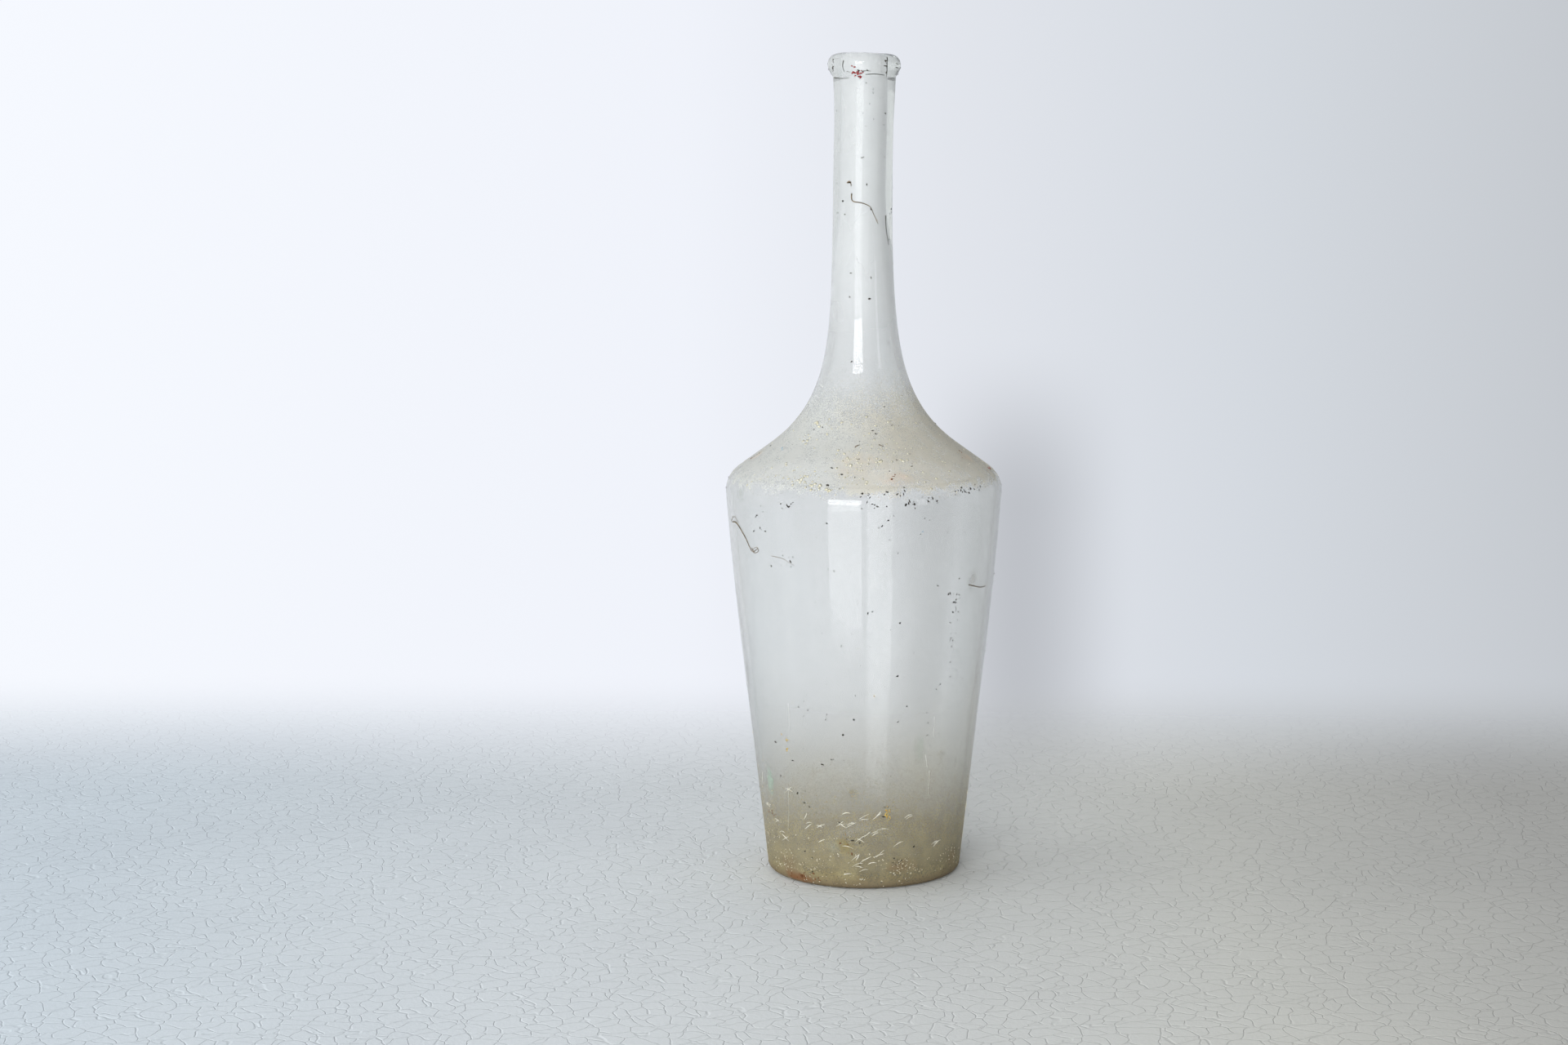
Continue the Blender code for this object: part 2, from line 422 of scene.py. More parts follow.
def lip_outline(steps=26):
    """The lip from the inner edge of its flat land, over the top and down to the neck."""
    land = LIP_LAND_RADIUS
    inner_edge = (BORE_RADIUS + MOUTH_ROUND, HEIGHT)
    points = [inner_edge] + line(inner_edge, (land, HEIGHT), 4)
    for step in range(1, steps + 1):
        angle = pi / 2 * (1.0 - step / steps)
        out = cos(angle) ** (2.0 / LIP_SQUARENESS)
        up = sin(angle) ** (2.0 / LIP_SQUARENESS)
        points.append((land + (LIP_RADIUS - land) * out, HEIGHT - LIP_WIDEST * (1.0 - up)))
    for step in range(1, 15):
        share = step / 14
        radius = LIP_RADIUS - (LIP_RADIUS - NECK_TOP_RADIUS) * share**2
        points.append((radius, HEIGHT - LIP_WIDEST - (LIP_HEIGHT - LIP_WIDEST) * share))
    return points


def wall_outline():
    """Neck, shoulder and body from under the lip down to the top of the heel."""
    top = HEIGHT - LIP_HEIGHT
    bottom = flare_start()[1]
    points = []
    for step in range(1, 81):
        height = bottom + (top - bottom) * (1.0 - step / 80) ** 1.15
        points.append((neck_radius(height), height))
    points += line(points[-1], shoulder_round(), 8)
    centre = SHOULDER_RADIUS - SHOULDER_ROUND
    points += arc(centre, SHOULDER_HEIGHT, SHOULDER_ROUND, pi / 2 - SHOULDER_SLOPE, 0.0, 16)
    for step in range(1, 53):
        height = SHOULDER_HEIGHT + (HEEL_ROUND - SHOULDER_HEIGHT) * step / 52
        points.append((side_radius(height), height))
    return points


def push_up(width, floor, steps=24):
    """The push-up from its edge, at the height of the floor, in to the axis."""
    radii = [width * (1.0 - step / steps) for step in range(1, steps + 1)]
    return [(radius, floor + PUSH_UP * smooth(1.0 - radius / width)) for radius in radii]


def underside_outline():
    """Heel, resting ring and push-up, in to the axis."""
    points = arc(HEEL_RADIUS - HEEL_ROUND, HEEL_ROUND, HEEL_ROUND, 0.0, -pi / 2, 9)
    width = HEEL_RADIUS - HEEL_ROUND - REST_RING_WIDTH
    points += line(points[-1], (width, 0.0), 4)
    return points + push_up(width, 0.0)


def moved_in(points, depth):
    """The outline moved in towards the glass, square to its own run, by depth or by depth(point)."""
    moved = []
    for index, here in enumerate(points):
        before = points[max(index - 1, 0)]
        after = points[min(index + 1, len(points) - 1)]
        run = (after[0] - before[0], after[1] - before[1])
        length = hypot(*run)
        by = depth(here) if callable(depth) else depth
        radius = here[0] + run[1] / length * by
        moved.append((0.0 if here[0] == 0.0 else radius, here[1] - run[0] / length * by))
    return moved


def outside_outline():
    """Half section of the whole outside, from the lip's land to the middle of the underside."""
    return lip_outline() + wall_outline() + underside_outline()


def inside_outline():
    """Half section of the hollow, from the lip's land down the bore and in over the floor."""
    centre = BORE_RADIUS + MOUTH_ROUND
    points = [(centre, HEIGHT)] + arc(centre, HEIGHT - MOUTH_ROUND, MOUTH_ROUND, pi / 2, pi, 6)
    top = HEIGHT - LIP_HEIGHT
    points += line(points[-1], (BORE_RADIUS, top), 6)
    walls = [(NECK_TOP_RADIUS, top)] + wall_outline()
    inner = moved_in(walls, lambda point: wall_at(point[1], point[0]))[1:]
    points += [point for point in inner if point[1] > FLOOR_GLASS + FLOOR_ROUND]
    width = side_radius(FLOOR_GLASS + FLOOR_ROUND) - BODY_WALL - FLOOR_ROUND
    points += arc(width, FLOOR_GLASS + FLOOR_ROUND, FLOOR_ROUND, 0.1, -pi / 2, 10)
    return points + push_up(width, FLOOR_GLASS)


# Hand work: bend and waves of the glass


def bell(value, centre, width):
    """1 at centre, falling to 0 about two widths away."""
    return exp(-(((value - centre) / width) ** 2))


def lean_at(height):
    """How far the neck's middle leans aside at a height."""
    bend = bpy.context.scene.old_bottle_glass.neck_bend
    return bend * (0.9 * bell(height, 0.262, 0.014) - bell(height, 0.212, 0.034))


def blown(radius, angle, height, wave, seed):
    """Where a point of the turned outline lies, with the neck's bend, uneven lip and waves."""
    place = Vector((radius * sin(angle), -radius * cos(angle), height))
    here = place * WAVE_SCALE + Vector((0.0, 0.0, seed))
    stretch = Vector((here.x, here.y, here.z * WAVE_STRETCH))
    ripple = noise.noise(stretch) + 0.15 * noise.noise(here * 2.3)
    away = (radius + wave * ripple * smooth(radius / 0.006)) / radius if radius > 0.0 else 0.0
    droop = LIP_DROOP * max(0.0, sin(angle)) ** 2 + LIP_ROLL * (1.0 + sin(3.0 * angle + 1.0))
    drop = droop * smooth((height - (HEIGHT - LIP_HEIGHT)) / LIP_HEIGHT)
    return Vector((place.x * away + lean_at(height), place.y * away, height - drop))


def turned(name, outline, wave, seed):
    """A mesh whose surface is the outline turned round the Z axis, with the waves of blown glass."""
    verts, faces, rows = [], [], []
    for radius, height in outline:
        if radius == 0.0:
            rows.append([len(verts)] * SIDES)
            verts.append(blown(0.0, 0.0, height, 0.0, seed))
            continue
        rows.append(range(len(verts), len(verts) + SIDES))
        for side in range(SIDES):
            angle = 2.0 * pi * side / SIDES
            verts.append(blown(radius, angle, height, wave(radius, height), seed))
    for upper, lower in zip(rows, rows[1:]):
        for side in range(SIDES):
            after = (side + 1) % SIDES
            face = [upper[side], lower[side], lower[after], upper[after]]
            faces.append(list(dict.fromkeys(face)))
    return smooth_mesh(name, verts, faces)


def smooth_mesh(name, verts, faces):
    """A new mesh, shaded smoothly."""
    mesh = bpy.data.meshes.new(name)
    mesh.from_pydata(verts, [], faces)
    mesh.shade_smooth()
    return mesh


def placed(name, data):
    """A new object in the scene."""
    made = bpy.data.objects.new(name, data)
    bpy.context.scene.collection.objects.link(made)
    return made


def piece(name, mesh, material, replaces=None):
    """A finished object in the scene, riding on its one body."""
    mesh.materials.append(material)
    made = placed(name, mesh)
    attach(made, "root")
    if replaces:
        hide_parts(replaces)
    return made


# Shader building


class Nodes:
    """Short names for building the node tree of a material, the world or a lamp."""

    def __init__(self, owner, coordinates="Object"):
        owner.use_nodes = True
        self.owner = owner
        self.tree = owner.node_tree
        self.place = self.add("ShaderNodeTexCoord").outputs[coordinates]

    def add(self, kind, **settings):
        node = self.tree.nodes.new(kind)
        for key, setting in settings.items():
            setattr(node, key, setting)
        return node

    def feed(self, socket, source):
        """Links a source to a socket, or sets it where the source is a plain value."""
        if isinstance(source, bpy.types.NodeSocket):
            self.tree.links.new(source, socket)
        else:
            socket.default_value = source

    def noise(self, scale, detail=3.0, stretch=(1.0, 1.0, 1.0), shift=0.0):
        """Noise of about 0 to 1, at scale waves a metre, slower along an axis stretched below 1."""
        mapping = self.add("ShaderNodeMapping")
        self.feed(mapping.inputs["Vector"], self.place)
        mapping.inputs["Scale"].default_value = stretch
        mapping.inputs["Location"].default_value = (shift, shift, shift)
        texture = self.add("ShaderNodeTexNoise")
        self.feed(texture.inputs["Vector"], mapping.outputs["Vector"])
        texture.inputs["Scale"].default_value = scale
        texture.inputs["Detail"].default_value = detail
        return texture.outputs["Fac"]

    def range(self, source, low, high, to_low=0.0, to_high=1.0, shape="SMOOTHSTEP"):
        """The source taken from low..high to to_low..to_high, smoothly or by another shape."""
        node = self.add("ShaderNodeMapRange", interpolation_type=shape)
        self.feed(node.inputs["Value"], source)
        for key, bound in (("From Min", low), ("From Max", high), ("To Min", to_low), ("To Max", to_high)):
            node.inputs[key].default_value = bound
        return node.outputs["Result"]

    def math(self, operation, first, second=0.0):
        node = self.add("ShaderNodeMath", operation=operation)
        self.feed(node.inputs[0], first)
        self.feed(node.inputs[1], second)
        return node.outputs["Value"]

    def speckled(self, grain, density):
        """Cover by fine grains that grow denser until they meet, as density goes from 0 to 1."""
        lift = self.math("MULTIPLY", self.math("SUBTRACT", density, 0.5), 0.72)
        return self.range(self.math("ADD", grain, lift), 0.34, 0.66)

    def times(self, *sources):
        result = sources[0]
        for source in sources[1:]:
            result = self.math("MULTIPLY", result, source)
        return result

    def over(self, *covers):
        """Cover of several films that lie over each other."""
        left = 1.0
        for cover in covers:
            left = self.math("MULTIPLY", left, self.math("SUBTRACT", 1.0, cover))
        return self.math("SUBTRACT", 1.0, left)

    def colours(self, factor, first, second, blend="MIX"):
        """The first colour, mixed with the second by factor."""
        node = self.add("ShaderNodeMix", data_type="RGBA", blend_type=blend)
        self.feed(node.inputs["Factor"], factor)
        for key, colour in (("A", first), ("B", second)):
            socket = next(s for s in node.inputs if s.name == key and s.type == "RGBA")
            self.feed(socket, colour if isinstance(colour, bpy.types.NodeSocket) else (*colour, 1.0))
        return next(s for s in node.outputs if s.type == "RGBA")

    def shades(self, source, stops):
        """A colour that runs through stops, each a value of the source and a colour."""
        first, last = stops[0][0], stops[-1][0]
        node = self.add("ShaderNodeValToRGB")
        self.feed(node.inputs["Fac"], self.range(source, first, last, shape="LINEAR"))
        ends = node.color_ramp.elements
        ends[0].color, ends[1].color = (*stops[0][1], 1.0), (*stops[-1][1], 1.0)
        for value, colour in stops[1:-1]:
            ends.new((value - first) / (last - first)).color = (*colour, 1.0)
        return node.outputs["Color"]

    def bump(self, source, depth, strength=1.0):
        node = self.add("ShaderNodeBump")
        self.feed(node.inputs["Height"], source)
        node.inputs["Distance"].default_value = depth
        node.inputs["Strength"].default_value = strength
        return node.outputs["Normal"]

    def along(self, axis):
        """The place along X, Y or Z, where Z is the height above the table."""
        split = self.add("ShaderNodeSeparateXYZ")
        self.feed(split.inputs["Vector"], self.place)
        return split.outputs[axis]

    def radius(self):
        """Distance from the bottle's axis."""
        flat = self.add("ShaderNodeVectorMath", operation="MULTIPLY")
        self.feed(flat.inputs[0], self.place)
        flat.inputs[1].default_value = (1.0, 1.0, 0.0)
        length = self.add("ShaderNodeVectorMath", operation="LENGTH")
        self.feed(length.inputs[0], flat.outputs["Vector"])
        return length.outputs["Value"]

    def surface(self, **sources):
        """Sets or links the shader's sockets; a name's underscores stand for blanks."""
        shader = self.tree.nodes["Principled BSDF"]
        for key, source in sources.items():
            colour = key == "Base_Color" and not isinstance(source, bpy.types.NodeSocket)
            self.feed(shader.inputs[key.replace("_", " ")], (*source, 1.0) if colour else source)
        return self.owner


def clear_glass():
    """Clear glass with a faint grey-green tint in its thickness and a slight waviness."""
    glass = bpy.context.scene.old_bottle_glass
    n = Nodes(bpy.data.materials.new("clear glass"))
    cords = n.noise(60.0, 2.0, (1.0, 1.0, 0.25))
    tint = tuple(glass.tint)
    pale = tuple(min(1.0, value * 1.03) for value in tint)
    absorb = n.add("ShaderNodeVolumeAbsorption")
    absorb.inputs["Color"].default_value = (0.42, 0.48, 0.42, 1.0)
    absorb.inputs["Density"].default_value = 22.0
    output = next(node for node in n.tree.nodes if node.type == "OUTPUT_MATERIAL")
    n.tree.links.new(absorb.outputs["Volume"], output.inputs["Volume"])
    return n.surface(
        Base_Color=n.colours(cords, tint, pale),
        Roughness=0.03,
        IOR=1.5,
        Transmission_Weight=glass.clearness,
        Normal=n.bump(n.noise(240.0, 2.0, (1.0, 1.0, 0.4)), 0.00002),
    )


def outer_film():
    """Weathered haze all over, dry soil on the shoulder, and damp soil round the base."""
    film = bpy.context.scene.old_bottle_film
    n = Nodes(bpy.data.materials.new("haze and soil"))
    height = n.along("Z")
    broad = n.noise(28.0, 2.0)
    fine = n.noise(260.0, 3.0)
    grain = n.noise(2600.0, 1.0)
    streaks = n.noise(120.0, 3.0, (1.0, 1.0, 0.06))
    wobble = n.math("ADD", height, n.range(n.noise(90.0, 3.0, shift=4.0), 0.3, 0.7, -0.0008, 0.0008))
    rising = n.math("ADD", height, n.range(broad, 0.3, 0.7, -0.006, 0.006))
    ragged = n.math("ADD", wobble, n.range(fine, 0.3, 0.7, -0.0009, 0.0009))
    edges = n.times(n.range(ragged, *SOIL_EDGE), n.range(rising, *SOIL_FADE, 1.0, 0.0))
    spread = n.times(edges, n.range(fine, 0.3, 0.7, 0.62, 0.92))
    shoulder = n.times(n.speckled(grain, spread), film.soil_cover)
    rim = n.range(n.radius(), 0.022, 0.030, 0.4, 1.0)
    damp_rise = n.times(n.range(wobble, *DAMP_SOIL, 0.80, 0.0), n.range(fine, 0.25, 0.7, 0.8, 1.0))
    base = n.times(n.speckled(grain, damp_rise), 0.46, rim)
    heel = n.times(n.speckled(n.noise(1700.0, 1.0), n.range(wobble, *HEEL_CRUST, 0.75, 0.0)), 0.55, rim)
    soil = n.over(shoulder, base, heel)
    neck = n.range(height, *NECK_HAZE)
    milk = n.math("ADD", 1.0, n.math("MULTIPLY", neck, 0.35))
    cloud = n.range(broad, 0.3, 0.7, 0.85, 1.15)
    haze = n.times(milk, cloud, n.range(streaks, 0.3, 0.8, 0.9, 1.15), film.haze_cover)
    # The haze turns whiter up the neck: partly its own milkier haze, partly painted light that brightens
    # the neck
    white = n.colours(neck, tuple(film.haze_colour), (0.89, 0.90, 0.90))
    low = n.range(height, *LOW_HAZE)
    white = n.colours(low, (0.36, 0.36, 0.31), white)
    # Painted light and shade: the dry soil is paler and greyer at the left, where the light comes from, and
    # warmer and darker at the right
    side = n.range(n.math("ADD", n.along("X"), n.range(broad, 0.3, 0.7, -0.008, 0.008)), -0.016, 0.012)
    dry = n.colours(side, (0.75, 0.745, 0.67), tuple(film.soil_colour))
    damp = n.colours(n.range(fine, 0.3, 0.7), tuple(film.base_colour), (0.44, 0.36, 0.16))
    damp = n.colours(n.range(height, *HEEL_STAIN), (0.20, 0.125, 0.04), damp)
    earth = n.colours(n.range(height, *DRY_SOIL), damp, dry)
    share = n.math("DIVIDE", soil, n.math("ADD", soil, n.math("ADD", haze, 0.001)))
    stain = n.add("ShaderNodeAttribute", attribute_name="stain")
    patchy = n.range(n.noise(420.0, 3.0, shift=3.0), 0.3, 0.7, -0.3, 0.3)
    strength = stain.outputs["Alpha"]
    spot = n.range(n.math("ADD", strength, n.times(strength, patchy)), 0.05, 0.75, 0.0, 0.85)
    return n.surface(
        Base_Color=n.colours(spot, n.colours(share, white, earth), stain.outputs["Color"]),
        Roughness=n.range(share, 0.0, 0.5, 0.24, 0.9),
        Alpha=n.over(soil, haze, n.math("MULTIPLY", spot, 0.75)),
        Normal=n.bump(fine, 0.00008, 0.6),
    )


def inner_film():
    """Sediment dried on the inside: thick on the floor, thinning up the wall, faint haze above."""
    film = bpy.context.scene.old_bottle_film
    n = Nodes(bpy.data.materials.new("sediment inside"))
    height = n.along("Z")
    broad = n.noise(45.0, 2.0, shift=9.0)
    fine = n.noise(320.0, 3.0, shift=2.0)
    grain = n.noise(1500.0, 1.0, shift=5.0)
    wobble = n.math("ADD", height, n.range(broad, 0.3, 0.7, -0.005, 0.005))
    deep = n.times(n.range(wobble, *THICK_SEDIMENT, 0.42, 0.0), n.range(fine, 0.2, 0.7, 0.75, 1.0))
    high = n.times(n.range(wobble, *THIN_SEDIMENT, 0.16, 0.0), n.range(fine, 0.2, 0.8, 0.8, 1.0))
    floor = n.times(n.speckled(grain, n.range(height, *FLOOR_SEDIMENT, 1.0, 0.0)), 0.5)
    neck = n.range(height, *NECK_HAZE)
    milk = n.math("ADD", 0.6, n.math("MULTIPLY", neck, 1.9))
    haze = n.times(milk, film.haze_cover, n.range(broad, 0.3, 0.7, 0.8, 1.2))
    corner = n.times(n.range(n.radius(), 0.018, 0.026), n.range(height, 0.005, 0.014, 0.45, 0.0))
    soil = n.over(deep, high, floor, corner)
    share = n.math("DIVIDE", soil, n.math("ADD", soil, n.math("ADD", haze, 0.001)))
    brown = n.colours(n.range(broad, 0.35, 0.65), (0.42, 0.34, 0.155), (0.27, 0.195, 0.07))
    # The haze turns whiter up the neck: partly its own milkier haze, partly painted light that brightens
    # the neck
    white = n.colours(neck, tuple(film.haze_colour), (0.90, 0.91, 0.91))
    return n.surface(
        Base_Color=n.colours(share, white, brown),
        Roughness=0.85,
        Alpha=n.over(soil, haze),
        Normal=n.bump(fine, 0.0001, 0.6),
    )


def dirt_and_painted_light(name, dark, light, scale=900.0, roughness=0.85, depth=0.00006):
    """An opaque dry finish that varies between two colours from one small thing to the next; it serves
    dirt, and also painted shade and glints.
    """
    n = Nodes(bpy.data.materials.new(name))
    each = n.noise(scale, 2.0)
    grit = n.noise(scale * 5.0, 3.0)
    mixed = n.colours(n.range(each, 0.35, 0.65), dark, light)
    return n.surface(
        Base_Color=n.colours(n.range(grit, 0.3, 0.75, 0.0, 0.5), mixed, dark),
        Roughness=n.range(grit, 0.2, 0.8, roughness - 0.1, min(1.0, roughness + 0.1)),
        Normal=n.bump(grit, depth),
    )


# Places on the glass


class Skin:
    """A turned surface that small things are laid on, measured by angle and by length along its outline."""

    def __init__(self, outline, wave, seed):
        self.outline = np.array(outline)
        steps = np.hypot(*np.diff(self.outline, axis=0).T)
        self.length = np.concatenate([[0.0], np.cumsum(steps)])
        self.wave = wave
        self.seed = seed

    def run_at(self, height):
        """Length along the outline, from the mouth, at which it first falls to a height."""
        lowest = int(np.argmin(self.outline[:, 1])) + 1
        return float(np.interp(-height, -self.outline[:lowest, 1], self.length[:lowest]))

    def at(self, angle, run):
        """The point of the surface at an angle and a length along the outline."""
        radius = float(np.interp(run, self.length, self.outline[:, 0]))
        height = float(np.interp(run, self.length, self.outline[:, 1]))
        return blown(radius, angle, height, self.wave(radius, height), self.seed)

    def patch(self, angle, run, across, along, lift=0.0):
        """A point across and along from a place on the surface, lifted off it to its outer side."""
        radius = max(0.001, float(np.interp(run, self.length, self.outline[:, 0])))
        turn, down = angle + across / radius, run + along
        step = 0.0002
        here = self.at(turn, down)
        aside = self.at(turn + step / radius, down) - here
        below = self.at(turn, down + step) - here
        return here + aside.cross(below).normalized() * -lift


def outer_wave(radius, height):
    """Waves of the outside, the same all over."""
    return bpy.context.scene.old_bottle_glass.outside_wave


def inner_wave(radius, height):
    """Waves of the inside, held back at the mouth where the land and the bore meet."""
    calm = smooth((HEIGHT - height) / (3.0 * MM))
    return bpy.context.scene.old_bottle_glass.inside_wave * calm


def within(place):
    """The place, drawn in to the bottle's widest ring where it would stand out past it."""
    out = hypot(place.x, place.y)
    if out <= WIDEST:
        return place
    return Vector((place.x * WIDEST / out, place.y * WIDEST / out, place.z))


class Pile:
    """Points and faces of many small closed things, gathered into one mesh."""

    def __init__(self):
        self.verts, self.faces = [], []

    def add(self, verts, faces):
        first = len(self.verts)
        self.verts += [within(vert) for vert in verts]
        self.faces += [[first + index for index in face] for face in faces]

    def flake(self, skin, place, size, thick, rng, stretch=1.0, corners=7):
        """An irregular flake with a low crown, lying on the skin."""
        turn = rng.uniform(0.0, pi)
        rim = []
        for corner in range(corners):
            a = 2.0 * pi * (corner + rng.uniform(-0.2, 0.2)) / corners
            reach = size * rng.uniform(0.7, 1.1)
            wide, tall = reach * cos(a) * stretch, reach * sin(a) / stretch
            across, along = wide * cos(turn) - tall * sin(turn), wide * sin(turn) + tall * cos(turn)
            rim.append(skin.patch(*place, across, along, thick * 0.25))
        shift = size * 0.25
        off = (rng.uniform(-shift, shift), rng.uniform(-shift, shift))
        crown = skin.patch(*place, *off, thick)
        under = skin.patch(*place, 0.0, 0.0, -0.2 * thick)
        faces = []
        for corner in range(corners):
            after = (corner + 1) % corners
            faces += [[corner, after, corners], [after, corner, corners + 1]]
        self.add([*rim, crown, under], faces)

    def strand(self, points, radii, sides=6):
        """A thin closed tube through points, with a radius at each."""
        verts, faces = [], []
        for index, point in enumerate(points):
            run = (points[min(index + 1, len(points) - 1)] - points[max(index - 1, 0)]).normalized()
            aside = run.orthogonal().normalized()
            other = run.cross(aside)
            for side in range(sides):
                a = 2.0 * pi * side / sides
                verts.append(point + (aside * cos(a) + other * sin(a)) * radii[index])
        for index in range(len(points) - 1):
            for side in range(sides):
                after = (side + 1) % sides
                low, high = index * sides, (index + 1) * sides
                faces.append([low + side, low + after, high + after, high + side])
        faces.append(list(range(sides))[::-1])
        faces.append([(len(points) - 1) * sides + side for side in range(sides)])
        self.add(verts, faces)

    def finish(self, name, material):
        """Makes the pile into one piece of the bottle."""
        return piece(name, smooth_mesh(name, self.verts, self.faces), material)


def camera_ray(x, y):
    """Start and direction of the photograph's ray at a pixel."""
    ahead = Vector((x - PHOTO_WIDTH / 2, PHOTO_HEIGHT / 2 - y, -FOCAL_PIXELS))
    return Vector((0.0, -CAMERA_AWAY, CAMERA_HEIGHT)), (camera_axes() @ ahead).normalized()


class Finder:
    """Finds where on the outside a pixel of the photograph shows."""

    def __init__(self):
        self.skin = Skin(moved_in(outside_outline(), FILM_DEPTH), outer_wave, OUTSIDE_SEED)
        mesh = turned("finder", self.skin.outline.tolist(), outer_wave, OUTSIDE_SEED)
        faces = [list(face.vertices) for face in mesh.polygons]
        self.tree = BVHTree.FromPolygons([vert.co for vert in mesh.vertices], faces)
        bpy.data.meshes.remove(mesh)

    def place(self, x, y):
        """Angle and length along the outline where a pixel's ray meets the glass, or None beside it."""
        hit = self.tree.ray_cast(*camera_ray(x, y))[0]
        if hit is None:
            return None
        return atan2(hit.x - lean_at(hit.z), -hit.y), self.skin.run_at(hit.z)

    def along(self, pixels, step=0.0004):
        """Places along a smooth path through pixels, about a step apart."""
        ends = [self.place(x, y) for x, y in pixels]
        if None in ends:
            raise ValueError(f"the path {pixels} leaves the glass")
        places = []
        for index in range(len(ends) - 1):
            before, a = ends[max(index - 1, 0)], ends[index]
            b, after = ends[index + 1], ends[min(index + 2, len(ends) - 1)]
            steps = max(2, int(hypot((b[0] - a[0]) * 0.03, b[1] - a[1]) / step))
            for count in range(steps):
                t = count / steps
                places.append(tuple(curve_value(before[i], a[i], b[i], after[i], t) for i in (0, 1)))
        return [*places, ends[-1]]


def curve_value(before, a, b, after, t):
    """A value on the smooth curve between a and b."""
    return 0.5 * (
        2.0 * a + (b - before) * t + (2.0 * before - 5.0 * a + 4.0 * b - after) * t**2
        + (3.0 * a - before - 3.0 * b + after) * t**3
    )


def hidden_angle(rng):
    """An angle on the sides that the photograph doesn't show."""
    return rng.uniform(HIDDEN_FROM, 2.0 * pi - HIDDEN_FROM)


def scattered(finder, clusters, rng, behind=1.0):
    """Places in clusters seen in the photograph, and for that share of them one on its hidden sides."""
    for x, y, wide, tall, count in clusters:
        for _ in range(count):
            place = finder.place(rng.gauss(x, wide), rng.gauss(y, tall))
            if place is None:
                continue
            yield place
            if rng.random() < behind:
                yield hidden_angle(rng), place[1] + rng.gauss(0.0, MM)


# Operators


class BOTTLE_OT_glass(bpy.types.Operator):
    """Blow the bottle's glass: one closed piece with its hollow"""

    bl_idname = "bottle.glass"
    bl_label = "Glass"

    def execute(self, context):
        outside = moved_in(outside_outline(), GLASS_DEPTH)
        inside = inside_outline()[1:]
        mesh = turned("bottle_glass", outside, outer_wave, OUTSIDE_SEED)
        lining = turned("lining", inside[::-1], inner_wave, INSIDE_SEED)
        joined = join_rims(mesh, lining)
        made = piece("bottle_glass", joined, clear_glass(), replaces="bottle")
        made.visible_shadow = False
        return {"FINISHED"}


def join_rims(outer, inner):
    """One closed mesh from the outside, which starts at the lip, and the lining, which ends there."""
    verts = [v.co.copy() for v in outer.vertices]
    faces = [list(f.vertices) for f in outer.polygons]
    first = len(verts)
    verts += [v.co.copy() for v in inner.vertices]
    faces += [[first + index for index in f.vertices] for f in inner.polygons]
    rim = first + len(inner.vertices) - SIDES
    for side in range(SIDES):
        after = (side + 1) % SIDES
        faces.append([rim + side, side, after, rim + after])
    joined = smooth_mesh("bottle_glass", verts, faces)
    bpy.data.meshes.remove(outer)
    bpy.data.meshes.remove(inner)
    return joined


def stain(mesh, rng):
    """Gives each point of the film the colour of the stain nearest to it and how strongly it is stained."""
    finder = Finder()
    spots = []
    for x, y, wide, tall, strength, colour in STAINS:
        spots.append((finder.skin.at(*finder.place(x, y)), wide, tall, strength, colour))
    for _ in range(STAINS_BEHIND):
        x, y, wide, tall, strength, colour = rng.choice(STAINS[:-1])
        angle = hidden_angle(rng)
        spots.append((finder.skin.at(angle, finder.place(x, y)[1]), wide, tall, strength, colour))
    points = np.array([v.co for v in mesh.vertices])
    away = np.array([
        np.linalg.norm((points - np.array(middle)) / (wide * PIXEL, wide * PIXEL, tall * PIXEL), axis=1)
        for middle, wide, tall, _, _ in spots
    ])
    nearest = away.argmin(axis=0)
    strengths = np.array([spot[3] for spot in spots])[nearest] * np.clip(1.5 - away.min(axis=0), 0.0, 1.0)
    tones = np.array([spot[4] for spot in spots])[nearest]
    layer = mesh.color_attributes.new("stain", "FLOAT_COLOR", "POINT")
    layer.data.foreach_set("color", np.column_stack([tones, strengths]).astype(np.float32).ravel())


class BOTTLE_OT_film(bpy.types.Operator):
    """Lay the haze and the soil over the glass, outside and inside"""

    bl_idname = "bottle.film"
    bl_label = "Haze and soil"

    def execute(self, context):
        outside = moved_in(outside_outline(), FILM_DEPTH)
        film = turned("soil_film", outside, outer_wave, OUTSIDE_SEED)
        stain(film, Random(77))
        piece("soil_film", film, outer_film())
        inside = moved_in(inside_outline()[1:], -INNER_FILM_LIFT)
        lining = turned("sediment_film", inside, inner_wave, INSIDE_SEED)
        lining.flip_normals()
        piece("sediment_film", lining, inner_film())
        return {"FINISHED"}


